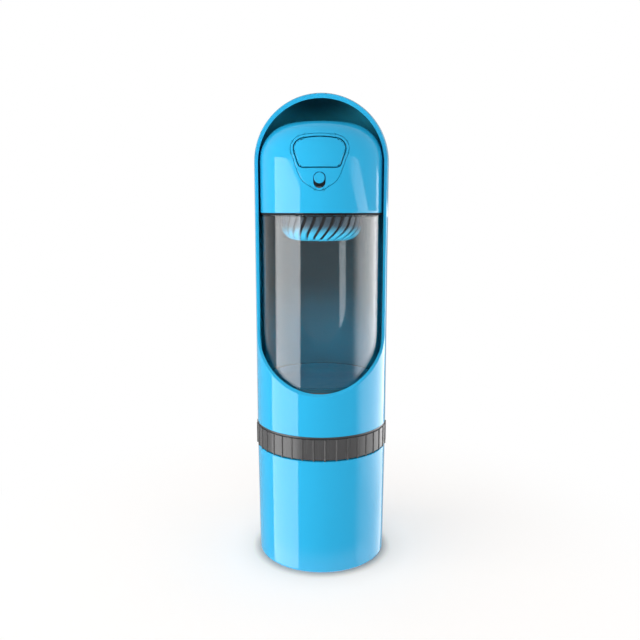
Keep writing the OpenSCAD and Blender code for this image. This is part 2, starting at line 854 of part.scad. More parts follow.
// Side view of what is cut away in front: upright rim, round corner, sloping sill
module window_side() {
    corner_y = rim_y + sill_r;
    corner_z = sill_z + (sleeve_r - corner_y) * tan(sill_angle) + sill_r / cos(sill_angle);
    tip_y = corner_y - sill_r * sin(sill_angle);
    tip_z = corner_z - sill_r * cos(sill_angle);
    out_y = sleeve_r + over;
    out_z = overall_h + over;
    translate([-corner_y, corner_z]) circle(r = sill_r + eps);
    polygon([[-rim_y, corner_z], [-rim_y, out_z], [-out_y, out_z],
        [-out_y, sill_z - over * tan(sill_angle)], [-tip_y, tip_z], [-corner_y, corner_z]]);
}

module outer_sleeve() {
    color(shell_blue) difference() {
        capsule(sleeve_r, hood_z, sleeve_z);
        capsule(sleeve_ri, hood_z - hood_extra, sleeve_z - over);
        translate([-far, 0, 0]) rotate([90, 0, 90]) linear_extrude(height = 2 * far) window_side();
    }
}

food_cup();
base_deck();
food_lid();
food_seal();
bayonet_ring();
grip_ring();
bottle_seat();
water_bottle();
seam_gasket();
valve_housing();
neck_washer();
head_cover();
control_panel();
release_button();
lock_slider();
retainer_frame();
frame_screws();
valve_stem();
valve_seal();
stem_seal();
valve_spring();
outlet_spout();
vent_valve();
trough_seal();
filter_basket();
filter_cartridge();
filter_cap();
outer_sleeve();
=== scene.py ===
# %% [markdown]
# # A dog's travel bottle, modelled and finished in Blender
# The construction comes from a packed CAD model: 28 nodes in metres, +Z up, the button facing -Y.
# The node meshes give every piece its real place. Here the pieces that show get smooth turned
# shells with rounded edges, and every piece gets a finish: glossy sky-blue plastic, smoke-clear
# plastic, ribbed rubber. Each cell builds one thing and prints what it made.

# %% Load the frame
from math import acos, atan2, cos, degrees, hypot, pi, radians, sin, tan

import bmesh
import bpy
from bmesh.types import BMEdge, BMFace, BMVert
from mathutils import Matrix, Vector


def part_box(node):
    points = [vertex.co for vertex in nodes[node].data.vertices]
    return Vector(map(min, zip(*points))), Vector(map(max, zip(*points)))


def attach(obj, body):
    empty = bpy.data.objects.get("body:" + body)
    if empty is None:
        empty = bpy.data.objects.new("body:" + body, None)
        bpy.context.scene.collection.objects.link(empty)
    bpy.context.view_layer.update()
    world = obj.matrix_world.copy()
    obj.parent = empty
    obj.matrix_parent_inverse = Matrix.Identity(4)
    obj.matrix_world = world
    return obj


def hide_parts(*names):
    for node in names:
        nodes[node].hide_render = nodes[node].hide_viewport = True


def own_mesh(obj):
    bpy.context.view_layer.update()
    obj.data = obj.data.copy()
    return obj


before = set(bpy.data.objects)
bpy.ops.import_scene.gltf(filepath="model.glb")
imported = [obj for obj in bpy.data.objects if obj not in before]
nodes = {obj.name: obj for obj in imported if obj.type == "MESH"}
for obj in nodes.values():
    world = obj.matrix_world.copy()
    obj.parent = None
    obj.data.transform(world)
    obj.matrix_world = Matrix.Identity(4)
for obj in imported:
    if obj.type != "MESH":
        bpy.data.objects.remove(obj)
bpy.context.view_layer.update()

# %% [markdown]
# ## The few sizes everything else follows
# A node's box tells its outside sizes, so the shells below read their radii and heights from the
# frame. What a box can't tell, such as a wall's thickness or an edge's rounding, is a number.

# %% Sizes
MM = 0.001


def mm(*metres):
    return [round(v / MM, 2) for v in metres]


TURN_STEPS = 240  # facets round the axis: one every degree and a half
sleeve_low, sleeve_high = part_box("outer_sleeve")
head_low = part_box("head_cover")[0]
bottle_low, bottle_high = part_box("water_bottle")

SLEEVE_R = sleeve_high.x
BODY_R = bottle_high.x  # bottle and head share this radius
SEAM_Z = head_low.z  # the head's lower edge
CROWN_Z = SEAM_Z + 48.5 * MM
WALL = 1.6 * MM  # the sleeve's wall
HOOD_EXTRA = 0.8 * MM  # the hood is thicker at its crown
print("radius of sleeve and bottle, height of seam and crown:", mm(SLEEVE_R, BODY_R, SEAM_Z, CROWN_Z))

# %% [markdown]
# ## Camera
# A portrait lens at the height of the seam between head and bottle, tipped down nine degrees. It
# stands a little to the right of the object's front, so the controls look slightly left.

# %% Camera
CAMERA_DISTANCE = 0.3889
CAMERA_HEIGHT = 0.1969
CAMERA_TURN = radians(1.73)
CAMERA_DOWN = radians(8.96)
FOCAL_PIXELS = 689.5
IMAGE_PIXELS = 640
AXIS_PIXEL = 321.45  # image column of the bottle's axis

camera = bpy.data.objects.new("camera", bpy.data.cameras.new("camera"))
camera.data.sensor_width = 36
camera.data.lens = FOCAL_PIXELS / IMAGE_PIXELS * camera.data.sensor_width
camera.data.shift_x = (IMAGE_PIXELS / 2 - AXIS_PIXEL) / IMAGE_PIXELS
camera.data.clip_start = 0.01
camera_x = CAMERA_DISTANCE * sin(CAMERA_TURN)
camera_y = -CAMERA_DISTANCE * cos(CAMERA_TURN)
camera.location = (camera_x, camera_y, CAMERA_HEIGHT)
camera.rotation_euler = (pi / 2 - CAMERA_DOWN, 0, CAMERA_TURN)
bpy.context.scene.collection.objects.link(camera)
bpy.context.scene.camera = camera
bpy.context.scene.view_settings.view_transform = "Standard"
print("lens", round(camera.data.lens, 2), "mm")

# %% [markdown]
# ## Node helper
# A material is a small graph of nodes. `Graph` keeps the cells below short: `add` makes a node,
# sets its sockets and links those inputs that are other nodes' outputs. The other methods each
# make one thing that comes back often.

# %% Node graphs
DEPTH_FROM = 0.035  # a tone that follows the depth counts it from this far in front of the axis


def tone(colour, share=1.0):
    return tuple(c * share for c in colour) + (1.0,)


class Graph:
    def __init__(self, tree):
        self.tree = tree
        tree.nodes.clear()

    def put(self, socket, value):
        if isinstance(value, bpy.types.NodeSocket):
            self.tree.links.new(value, socket)
        else:
            socket.default_value = value

    def add(self, kind, inputs=None, **settings):
        node = self.tree.nodes.new(kind)
        for key, value in settings.items():
            setattr(node, key, value)
        for key, value in (inputs or {}).items():
            self.put(node.inputs[key], value)
        return node

    def calculate(self, operation, *values):
        return self.add("ShaderNodeMath", dict(enumerate(values)), operation=operation).outputs[0]

    def follow(self, value, start, end, low=0.0, high=1.0, easing="LINEAR"):
        """A number that runs from low to high as value runs from start to end, and rests outside."""
        limits = {"Value": value, "From Min": start, "From Max": end, "To Min": low, "To Max": high}
        return self.add("ShaderNodeMapRange", limits, interpolation_type=easing).outputs[0]

    def part(self, vector, axis):
        return self.add("ShaderNodeSeparateXYZ", {"Vector": vector}).outputs[axis]

    def length(self, vector):
        return self.add("ShaderNodeVectorMath", {0: vector}, operation="LENGTH").outputs["Value"]

    def noise(self, coords, scale, detail=2.0, stretch=(1, 1, 1)):
        moved = self.add("ShaderNodeMapping", {"Vector": coords, "Scale": stretch}).outputs[0]
        inputs = {"Vector": moved, "Scale": scale, "Detail": detail}
        return self.add("ShaderNodeTexNoise", inputs).outputs["Fac"]

    def between(self, noise, low, high):
        """A number from low to high; a noise seldom leaves its middle half, so that is spread out."""
        return self.follow(noise, 0.25, 0.75, low, high)

    def blend(self, factor, first, second):
        mix = self.add("ShaderNodeMix", data_type="RGBA")
        for index, value in ((0, factor), (6, first), (7, second)):
            self.put(mix.inputs[index], value)
        return mix.outputs[2]

    def mix(self, factor, first, second):
        shaders = {0: factor, 1: first.outputs[0], 2: second.outputs[0]}
        return self.add("ShaderNodeMixShader", shaders)

    def shades(self, coords, kind, stops):
        """A colour that follows the height, the radius or the depth through (metres, colour) stops."""
        if kind == "radius":
            flat = self.add("ShaderNodeMapping", {"Vector": coords, "Scale": (1, 1, 0)}).outputs[0]
            value = self.length(flat)
        elif kind == "depth":
            moved = {"Vector": coords, "Location": (0, DEPTH_FROM, 0)}
            value = self.part(self.add("ShaderNodeMapping", moved).outputs[0], "Y")
        else:
            value = self.part(coords, "Z")
        reach = stops[-1][0]
        ramp = self.add("ShaderNodeValToRGB", {"Fac": self.calculate("DIVIDE", value, reach)})
        ramp.color_ramp.interpolation = "EASE"
        while len(ramp.color_ramp.elements) < len(stops):
            ramp.color_ramp.elements.new(0.5)
        for element, (place_at, colour) in zip(ramp.color_ramp.elements, stops):
            element.position = place_at / reach
            element.color = tone(colour)
        return ramp.outputs["Color"]


def new_material(name):
    material = bpy.data.materials.new(name)
    material.use_nodes = True
    return material, Graph(material.node_tree)


print("the graph helper can make:", [name for name in vars(Graph) if not name.startswith("_")])

# %% [markdown]
# ## Moulded plastic
# Every opaque piece came out of a steel mould. Up close such a skin isn't perfect: it has a slow
# ripple from cooling, a fine grain, a few hairline rubs, and a colour that drifts by a few per
# cent. One function makes them all, from a near-mirror gloss to a dull inner part.
#
# Four finishes have painted light and shade instead of one colour. The sleeve's inside and the
# basket's blades follow the height, the seat the radius and the disc on the bottle's floor the depth.
# They stand for the light and shade in the hood and in a smoked bottle, which the lamps here don't
# give alone.

# %% Plastic and rubber
def moulded(name, colour, gloss_rough, grain_rough, ripple, grain, drift=0.04, index=1.47, metal=0.0,
            stops=None):
    """Opaque plastic, rubber or metal. With stops, colour is "height", "radius" or "depth"."""
    material, graph = new_material(name)
    coords = graph.add("ShaderNodeTexCoord").outputs["Object"]
    slow = graph.noise(coords, scale=38, detail=3)
    fine = graph.noise(coords, scale=1400)
    rubs = graph.noise(coords, scale=260, detail=4, stretch=(1, 1, 0.06))
    if stops:
        even = graph.shades(coords, colour, stops)
        level = graph.between(slow, 1 - drift, 1 + drift)
        grey = graph.add("ShaderNodeCombineXYZ", {"X": level, "Y": level, "Z": level}).outputs[0]
        base = graph.add("ShaderNodeVectorMath", {0: even, 1: grey}, operation="MULTIPLY").outputs[0]
    else:
        base = graph.blend(slow, tone(colour, 1 - drift), tone(colour, 1 + drift))
    rough = graph.between(rubs, gloss_rough, grain_rough)
    height = graph.calculate("MULTIPLY_ADD", fine, grain, graph.calculate("MULTIPLY", slow, ripple))
    bump = graph.add("ShaderNodeBump", {"Strength": 1.0, "Distance": 0.001, "Height": height})
    shader = graph.add("ShaderNodeBsdfPrincipled", {
        "Base Color": base, "Roughness": rough, "Metallic": metal, "IOR": index,
        "Normal": bump.outputs[0]})
    graph.add("ShaderNodeOutputMaterial", {"Surface": shader.outputs[0]})
    return material


sky_blue = moulded("sky_blue_plastic", (0.022, 0.465, 0.810), 0.045, 0.085, 0.010, 0.0008, 0.015)
dark_plastic = moulded("dark_grey_plastic", (0.060, 0.060, 0.062), 0.26, 0.40, 0.02, 0.012)
grip_rubber = moulded("grip_rubber", (0.078, 0.077, 0.078), 0.22, 0.32, 0.03, 0.010)
seal_rubber = moulded("black_silicone", (0.009, 0.009, 0.010), 0.45, 0.60, 0.02, 0.010, index=1.3)
seat_pad = moulded("brown_pad", (0.140, 0.095, 0.075), 0.45, 0.65, 0.03, 0.030)
pale_plastic = moulded("pale_inner_plastic", (0.62, 0.65, 0.68), 0.30, 0.42, 0.02, 0.010)
steel = moulded("spring_steel", (0.58, 0.58, 0.58), 0.18, 0.34, 0.02, 0.006, metal=1.0)
carbon = moulded("carbon_fibre_pad", (0.016, 0.016, 0.017), 0.75, 0.95, 0.20, 0.12, 0.3)

# Painted light and shade on the sleeve's inside, by height: blue low down, painted shade in dark teal
# behind the bottle's upper part, painted light just above it in the hood, and painted shade again under the
# hood's crown.
PAINTED_SHADE_TEAL = (0.012, 0.110, 0.145)
inside_painted_light_and_shade = moulded("matt_inside_painted_light_and_shade", "height", 0.42, 0.60, 0.02, 0.020, 0.03, stops=[
    (0.108, (0.020, 0.480, 0.760)), (0.160, PAINTED_SHADE_TEAL), (0.205, PAINTED_SHADE_TEAL),
    (0.228, (0.060, 0.700, 0.850)), (0.247, (0.050, 0.560, 0.680)), (0.257, (0.012, 0.100, 0.130))])
# Painted on the blades, by height: painted light in bright blue at their feet and painted shade in dark
# grey-blue higher up, under the head.
blades_painted_light_and_shade = moulded("blade_plastic_painted_light_and_shade", "height", 0.10, 0.18, 0.01, 0.002, 0.02, stops=[
    (0.1825, (0.060, 0.640, 0.960)), (0.1900, (0.055, 0.085, 0.110))])
# Painted on the seat, by radius: painted light in bright blue in the middle, painted shade in dark teal
# toward its rim.
seat_painted_light_and_shade = moulded("seat_painted_light_and_shade", "radius", 0.30, 0.45, 0.02, 0.010, 0.03, stops=[
    (0.0303, (0.030, 0.600, 0.900)), (0.0330, (0.016, 0.100, 0.150))])
disc_blue = moulded("matt_disc_blue", "depth", 0.50, 0.65, 0.02, 0.020, 0.03, stops=[
    (0.008, (0.014, 0.185, 0.310)), (0.030, (0.016, 0.210, 0.360)), (0.050, (0.018, 0.330, 0.540)),
    (0.068, (0.020, 0.470, 0.740))])
print("a painted finish:", inside_painted_light_and_shade.name, "with", len(inside_painted_light_and_shade.node_tree.nodes), "nodes")

# %% [markdown]
# ## Smoke-clear plastic
# The bottle is a clear copolyester with a grey tint. Light is bent by the wall and loses some of
# itself at each pass, so the colour is that of one wall. A slow ripple keeps the reflections from
# looking like a window pane's.

# %% Clear plastic
SMOKE = (0.84, 0.87, 0.89)


def clear_plastic():
    material, graph = new_material("smoke_clear_plastic")
    coords = graph.add("ShaderNodeTexCoord").outputs["Object"]
    slow = graph.noise(coords, scale=30)
    rubs = graph.noise(coords, scale=300, detail=4, stretch=(1, 1, 0.05))
    base = graph.blend(slow, tone(SMOKE, 0.97), tone(SMOKE, 1.03))
    rough = graph.between(rubs, 0.015, 0.035)
    bump = graph.add("ShaderNodeBump", {"Strength": 1.0, "Distance": 0.00001, "Height": slow})
    shader = graph.add("ShaderNodeBsdfPrincipled", {
        "Base Color": base, "Roughness": rough, "Transmission Weight": 1.0, "IOR": 1.5,
        "Normal": bump.outputs[0]})
    graph.add("ShaderNodeOutputMaterial", {"Surface": shader.outputs[0]})
    return material


smoke_clear = clear_plastic()
print("clear finish:", smoke_clear.name, "with", len(smoke_clear.node_tree.nodes), "nodes")

# %% [markdown]
# ## Turning a shell
# Cup, ring, bottle, head and sleeve are round, so each starts as the outline of its cut wall in
# the X-Z plane. The corners are rounded with a vertex bevel while the outline is still one flat
# face. Then the face is dropped and its edges are spun round the axis. An outline that touches
# the axis has no edge along it, or the spin would leave a seam inside.

# %% Turned shells
TINY = 1e-6  # metres: what is closer than this is one place


def arc(centre_x, centre_z, radius, start, end, steps):
    """Corners along an arc, in degrees, each with no rounding of its own."""
    angles = [radians(start + (end - start) * i / steps) for i in range(steps + 1)]
    return [(centre_x + radius * cos(a), centre_z + radius * sin(a), 0) for a in angles]


def outline_edges(bm, corners, segments=3):
    """The outline's edges, with each (x, z, rounding) corner rounded by its own radius."""
    verts = [bm.verts.new((x, 0, z)) for x, z, _ in corners]
    bm.faces.new(verts)
    for vert, (_, _, rounding) in zip(verts, corners):
        if rounding:
            bmesh.ops.bevel(bm, geom=[vert], offset=rounding, segments=segments, profile=0.5,
                            affect="VERTICES", material=-1)
    bmesh.ops.delete(bm, geom=bm.faces[:], context="FACES_ONLY")
    on_axis = [e for e in bm.edges if all(abs(v.co.x) < TINY / 10 for v in e.verts)]
    bmesh.ops.delete(bm, geom=on_axis, context="EDGES")
    return bm.verts[:] + bm.edges[:]


def only(parts, kind):
    """Those of an operator's results that are vertices, edges or faces."""
    return [part for part in parts if isinstance(part, kind)]


def round_edges(bm, edges, by, segments, **more):
    return bmesh.ops.bevel(bm, geom=edges, offset=by, segments=segments, profile=0.5,
                           affect="EDGES", material=-1, **more)


def cylinder(bm, radius, height, segments):
    return bmesh.ops.create_cone(bm, cap_ends=True, segments=segments, radius1=radius,
                                 radius2=radius, depth=height)["verts"]


def move(bm, verts, vector):
    bmesh.ops.translate(bm, verts=verts, vec=vector)


def turn(bm, verts, angle, axis="Z"):
    matrix = Matrix.Rotation(angle, 3, axis)
    bmesh.ops.rotate(bm, verts=verts, cent=(0, 0, 0), matrix=matrix)


def face_out(bm):
    bmesh.ops.recalc_face_normals(bm, faces=bm.faces[:])


def spin(bm, parts, angle, steps, climb=0.0, merge=False):
    """Spins parts round the Z axis. Each step also gains the height climb."""
    bmesh.ops.spin(bm, geom=parts, cent=(0, 0, 0), axis=(0, 0, 1), dvec=(0, 0, climb), angle=angle,
                   steps=steps, use_merge=merge)


def turned(corners, steps=TURN_STEPS):
    bm = bmesh.new()
    spin(bm, outline_edges(bm, corners), 2 * pi, steps, merge=True)
    bmesh.ops.remove_doubles(bm, verts=bm.verts[:], dist=TINY)
    face_out(bm)
    return bm


print("corners of a quarter circle in eight steps:", len(arc(0, 0, 1, 0, 90, 8)))

# %% [markdown]
# ## Putting a piece in its place
# A finished mesh is shaded smooth, with creases kept where two faces meet at a sharp angle. The
# piece rides on a CAD body and hides the plain CAD node it stands for.

# %% Placing
CREASE = radians(32)


def shade(bm):
    for face in bm.faces:
        face.smooth = True
    for edge in bm.edges:
        edge.smooth = len(edge.link_faces) == 2 and edge.calc_face_angle(0) < CREASE


def mesh_of(bm, name):
    """The mesh that the builder's working copy holds; the working copy is freed."""
    mesh = bpy.data.meshes.new(name)
    bm.to_mesh(mesh)
    bm.free()
    return mesh


def link(name, mesh):
    thing = bpy.data.objects.new(name, mesh)
    bpy.context.scene.collection.objects.link(thing)
    return thing


def object_from(bm, name, material):
    shade(bm)
    mesh = mesh_of(bm, name)
    mesh.materials.append(material)
    return link(name, mesh)


def place(piece, body, slot, *replaced):
    smooth = piece.modifiers.new("smooth_normals", "WEIGHTED_NORMAL")
    smooth.keep_sharp = True
    smooth.weight = 100
    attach(piece, body)
    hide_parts(*replaced)
    print(piece.name, len(piece.data.polygons), "faces, on", body)
    return piece


print("edges sharper than", round(degrees(CREASE)), "degrees stay creases")

# %% [markdown]
# ## Cutting with a prism
# The window, the hole for the controls and the push button are all cuts along one direction. A
# prism is made from a flat outline, and a Boolean modifier takes it from a shell, or keeps what
# is common. The result is read back as a plain mesh, its near-double vertices are merged, and
# the fresh sharp edges are bevelled so that they catch the light as moulded edges do.

# %% Cutting
MERGE = 0.00002  # metres: a cut leaves vertices closer than this that should be one


def boolean(piece, tool, operation):
    """Takes the tool from a piece, joins them or keeps what they share. The tool is used up."""
    cut = piece.modifiers.new("cut", "BOOLEAN")
    cut.operation = operation
    cut.solver = "EXACT"
    cut.object = tool
    graph = bpy.context.evaluated_depsgraph_get()
    mesh = bpy.data.meshes.new_from_object(piece.evaluated_get(graph))
    piece.modifiers.clear()
    used = (piece.data, tool.data)
    piece.data = mesh
    bpy.data.objects.remove(tool)
    for old in used:
        bpy.data.meshes.remove(old)


def soften(piece, width, segments=2, angle=CREASE):
    """Merges near-doubles and rounds every sharp edge of a cut piece."""
    bm = bmesh.new()
    bm.from_mesh(piece.data)
    bmesh.ops.remove_doubles(bm, verts=bm.verts[:], dist=MERGE)
    bmesh.ops.dissolve_degenerate(bm, edges=bm.edges[:], dist=MERGE)
    sharp = [e for e in bm.edges if len(e.link_faces) == 2 and e.calc_face_angle(0) > angle]
    round_edges(bm, sharp, width, segments, clamp_overlap=False, loop_slide=True)
    shade(bm)
    bm.to_mesh(piece.data)
    bm.free()


def prism(name, outline, direction, near, far):
    """A prism whose outline, given in space, is moved along direction to near and pulled to far."""
    bm = bmesh.new()
    face = bm.faces.new([bm.verts.new(p) for p in outline])
    move(bm, bm.verts[:], Vector(direction) * near)
    grown = bmesh.ops.extrude_face_region(bm, geom=[face])
    move(bm, only(grown["geom"], BMVert), Vector(direction) * (far - near))
    face_out(bm)
    return link(name, mesh_of(bm, name))


print("cut edges are merged within", MERGE / MM, "mm before they are rounded")

# %% [markdown]
# ## The sleeve
# A tube closed by half a ball, open in front: the round hood is what the dog drinks from. The
# wall's outline is spun first. Then the window is cut by a prism along X, whose side view is an
# upright rim, a round corner and a sloping sill. The inside is matt, with painted light and shade,
# behind the bottle and in the hood, and glossy beside the window.

# %% Sleeve
HOOD_Z = sleeve_high.z - SLEEVE_R
BALL_STEPS = 48
RIM_Y = 10.5 * MM  # the upright rim stands this far in front of the axis
SILL_Z = sleeve_low.z + 22.1 * MM
SILL_ANGLE = 42.5  # degrees from level
SILL_SLOPE = radians(SILL_ANGLE)
CORNER_R = 14 * MM
BEYOND = 5 * MM  # how far the cutter reaches past the sleeve
HALF_LENGTH = 60 * MM  # and half its length along X
BACK_Y = 5 * MM  # the matt finish with its painted light and shade begins behind this, and this far up in the hood
HOOD_UP = 10 * MM
inner_r = SLEEVE_R - WALL
foot = [(inner_r, sleeve_low.z, 0.3 * MM), (SLEEVE_R, sleeve_low.z, 0.4 * MM)]
outside = arc(0, HOOD_Z, SLEEVE_R, 0, 90, BALL_STEPS)
inside = arc(0, HOOD_Z - HOOD_EXTRA, inner_r, 90, 0, BALL_STEPS)
sleeve = object_from(turned(foot + outside + inside), "hooded_sleeve", sky_blue)

corner_y = RIM_Y + CORNER_R
corner_z = SILL_Z + (SLEEVE_R - corner_y) * tan(SILL_SLOPE) + CORNER_R / cos(SILL_SLOPE)
out_y, top_z = SLEEVE_R + BEYOND, sleeve_high.z + BEYOND
round_corner = arc(-corner_y, corner_z, CORNER_R, 0, SILL_ANGLE - 90, 20)
side = [(-out_y, top_z), (-out_y, SILL_Z - BEYOND * tan(SILL_SLOPE))]
side += [(y, z) for y, z, _ in reversed(round_corner)] + [(-RIM_Y, top_z)]
window = prism("window_cutter", [(0, y, z) for y, z in side], (1, 0, 0), -HALF_LENGTH, HALF_LENGTH)
boolean(sleeve, window, "DIFFERENCE")
soften(sleeve, 0.3 * MM)
sleeve.data.materials.append(inside_painted_light_and_shade)
# Inward faces behind the bottle or high in the hood take the painted light and shade.
for face in sleeve.data.polygons:
    outward = Vector(face.center) - Vector((0, 0, min(face.center.z, HOOD_Z)))
    faces_in = face.normal.dot(outward.normalized()) < -0.6
    gets_painted_light_and_shade = face.center.y > BACK_Y or face.center.z > HOOD_Z + HOOD_UP
    face.material_index = int(faces_in and gets_painted_light_and_shade)
place(sleeve, "sleeve_body", "blue_plastic", "outer_sleeve")

# %% [markdown]
# ## The food cup
# A plain bowl with a rounded foot, a hair narrower at the bottom so that it leaves its mould. Its
# neck goes up inside the ribbed ring. The lugs of its twist lock are hidden there and left out.

# %% Food cup
cup_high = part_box("food_cup")[1]
CUP_WALL = 1.8 * MM
CUP_FLOOR = 2.2 * MM
FOOT_ROUND = 1.9 * MM
cup_top = 64.6 * MM
cup_r = cup_high.x
foot_r = cup_r - 0.65 * MM
neck_r = 33.0 * MM
neck_in = neck_r - CUP_WALL
under_shelf = cup_top - 3 * MM
cup = turned([
    (0, 0, 0), (foot_r, 0, FOOT_ROUND), (cup_r, cup_top, 0.5 * MM), (neck_r, cup_top, 0.2 * MM),
    (neck_r, cup_high.z, 0.4 * MM), (neck_in, cup_high.z, 0.4 * MM), (neck_in, under_shelf, 0.4 * MM),
    (cup_r - CUP_WALL, under_shelf, 0.4 * MM), (foot_r - CUP_WALL, CUP_FLOOR, 2.5 * MM),
    (0, CUP_FLOOR, 0)])
place(object_from(cup, "food_bowl", sky_blue), "food_cup_body", "blue_plastic", "food_cup")

# %% [markdown]
# ## The grip ring
# A rubber band moulded over the hard bayonet ring. Thirty-eight fine ribs stand on it and hang a
# little below its edge. One rib is a slim post with a rounded end; copies of it are turned round
# the axis, as an array would do.

# %% Grip ring
RIBS = 38
RIB_R = 0.42 * MM
grip_low, grip_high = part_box("grip_ring")
ring_low, ring_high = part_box("bayonet_ring")
ring_r = grip_high.x - RIB_R
ring_in = ring_high.x + 0.05 * MM
ring_foot = ring_low.z + 0.25 * MM
bm = turned([(ring_in, ring_foot, 0.1 * MM), (ring_r, ring_foot, 0.2 * MM),
             (ring_r, grip_high.z, 0.25 * MM), (ring_in, grip_high.z, 0.1 * MM)], RIBS * 6)


def add_ribs(bm, count, radius, low, high, at):
    """Posts with rounded ends, round the axis; the first stands at +X."""
    verts = cylinder(bm, radius, high - low, 10)
    rims = [e for e in bm.edges if all(v in verts for v in e.verts)
            and abs(e.verts[0].co.z - e.verts[1].co.z) < TINY]
    rounded = round_edges(bm, rims, radius * 0.5, 2)
    verts = list({v for f in rounded["faces"] for v in f.verts} | {v for v in verts if v.is_valid})
    move(bm, verts, (at, 0, (low + high) / 2))
    rib = list({f for v in verts for f in v.link_faces})
    for i in range(1, count):
        copy = bmesh.ops.duplicate(bm, geom=rib + verts)
        turn(bm, only(copy["geom"], BMVert), 2 * pi * i / count)


add_ribs(bm, RIBS, RIB_R, grip_low.z, grip_high.z, ring_r)
place(object_from(bm, "ribbed_grip", grip_rubber), "ring_body", "grip_rubber", "grip_ring")

# %% [markdown]
# ## The bottle
# A moulded clear bottle: a narrower, solid foot that sits in a pad, a straight body, a square
# shoulder and a wide neck. Three thread starts run up the neck. A thread is a small trapezoid that
# is spun a sixth of a turn while it climbs: the same spin as for the shells, with a step in height.

# %% Bottle
BOTTLE_WALL = 1.8 * MM
SHOULDER_T = 0.7 * MM  # the shoulder is thinner than the wall
foot_z, lip_z = bottle_low.z, bottle_high.z
body_low = foot_z + 2.5 * MM
body_high = lip_z - 8.2 * MM
floor_in = body_low + 0.1 * MM
bottle_neck = BODY_R - 5.9 * MM
bottle_foot = BODY_R - 3.7 * MM
body_in, neck_inside = BODY_R - BOTTLE_WALL, bottle_neck - BOTTLE_WALL
bm = turned([
    (0, foot_z, 0), (bottle_foot, foot_z, 1.2 * MM), (bottle_foot, body_low, 0.3 * MM),
    (BODY_R, body_low, 0.6 * MM), (BODY_R, body_high, 0.3 * MM), (bottle_neck, body_high, 0.5 * MM),
    (bottle_neck, lip_z, 0.4 * MM), (neck_inside, lip_z, 0.4 * MM),
    (neck_inside, body_high - SHOULDER_T, 0.2 * MM), (body_in, body_high - SHOULDER_T, 0.2 * MM),
    (body_in, floor_in, 0.8 * MM), (0, floor_in, 0)])


def add_thread(bm, radius, depth, thick, low_z, lead, sweep, starts, steps=20):
    """Ridges round a neck: lead is what a full turn climbs, sweep is how far round each one goes."""
    root = radius - 0.4 * MM
    tip = radius + depth
    corners = [(root, -thick / 2), (tip, -thick / 4), (tip, thick / 4), (root, thick / 2)]
    climb = lead * sweep / (2 * pi) / steps
    for i in range(starts):
        face = bm.faces.new([bm.verts.new((x, 0, low_z + z)) for x, z in corners])
        turn(bm, face.verts[:], 2 * pi * i / starts)
        spin(bm, [face], sweep, steps, climb)


add_thread(bm, bottle_neck, depth=1.2 * MM, thick=1.4 * MM, low_z=body_high + 4.4 * MM,
           lead=12 * MM, sweep=radians(60), starts=3)
face_out(bm)
place(object_from(bm, "clear_bottle", smoke_clear), "bottle_body", "smoke_clear", "water_bottle")

# %% [markdown]
# ## The disc on the bottle's floor
# A real bottle has no such disc. It stands for the even blue that a smoked bottle shows low down,
# where floor, pad and wall melt into each other. It is matt and thin, and painted brighter toward
# the back, where the wall shades it, so that it carries on the tone of the wall behind it.

# %% Floor disc
disc_r = body_in - 0.25 * MM
disc_top = floor_in + 0.35 * MM
bm = turned([(0, floor_in, 0), (disc_r, floor_in, 0.1 * MM), (disc_r, disc_top, 0.1 * MM),
             (0, disc_top, 0)])
place(object_from(bm, "floor_disc", disc_blue), "bottle_body", "blue_plastic")

# %% [markdown]
# ## The seat
# The bottle's foot stands in a shallow cup. Its upper part is painted blue, as what lies behind the
# clear bottle is, bright in the middle and darker toward its rim: painted light and shade. A brown
# sole shows as a sliver above the window's sill. It is one turned outline with a corner where the
# colour changes, so the faces below that corner can take a second material.

# %% Seat
seat_low, seat_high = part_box("bottle_seat")
SOLE_TOP = foot_z + 0.95 * MM
seat_r = seat_high.x
seat_in = bottle_foot + 0.15 * MM
seat_top = body_low - 0.05 * MM
seat_floor = foot_z - 0.3 * MM
bm = turned([
    (0, seat_low.z, 0), (seat_r, seat_low.z, 0.2 * MM), (seat_r, SOLE_TOP, 0),
    (seat_r, seat_top, 0.3 * MM), (seat_in, seat_top, 0.2 * MM), (seat_in, seat_floor, 0.2 * MM),
    (0, seat_floor, 0)])
seat = object_from(bm, "foot_seat", seat_painted_light_and_shade)
seat.data.materials.append(seat_pad)
for face in seat.data.polygons:
    outer = hypot(face.center.x, face.center.y) > seat_in
    face.material_index = int(face.center.z < SOLE_TOP and outer)
place(seat, "deck_body", "seat_pad", "bottle_seat")

# %% [markdown]
# ## The head's outline
# The head is a dome: straight sides, a wide round shoulder and an almost flat crown. Two circles
# give it, and where they cross is worked out from the triangle of their centres and the crossing.
# The same outline with smaller circles is its inner side. The straight side is cut into short
# steps, so that the openings in it stay cleanly shaded.

# %% Dome outline
SHOULDER_R = 20 * MM
CROWN_R = 160 * MM
SHOULDER_X = BODY_R - SHOULDER_R
SHOULDER_Z = HOOD_Z + 1 * MM
SIDE_STEP = 1.47 * MM


def dome(inset, steps=30, crown_steps=12):
    """Corners from the foot of the straight side to the axis, for a dome that is inset all round."""
    small, large = SHOULDER_R - inset, CROWN_R - inset
    crown_centre = CROWN_Z - CROWN_R
    rise = SHOULDER_Z - crown_centre
    apart = hypot(SHOULDER_X, rise)
    corner = acos((apart ** 2 + small ** 2 - large ** 2) / (2 * apart * small))
    end = degrees(atan2(-rise, -SHOULDER_X) + corner) % 360
    shoulder = arc(SHOULDER_X, SHOULDER_Z, small, 0, end, steps)
    last_x, last_z, _ = shoulder[-1]
    start = degrees(atan2(last_z - crown_centre, last_x))
    crown = arc(0, crown_centre, large, start, 90, crown_steps)[1:]
    straight = SHOULDER_Z - SEAM_Z
    steps_up = round(straight / SIDE_STEP)
    side = [(BODY_R - inset, SEAM_Z + i * straight / steps_up, 0) for i in range(steps_up)]
    return side + shoulder + crown


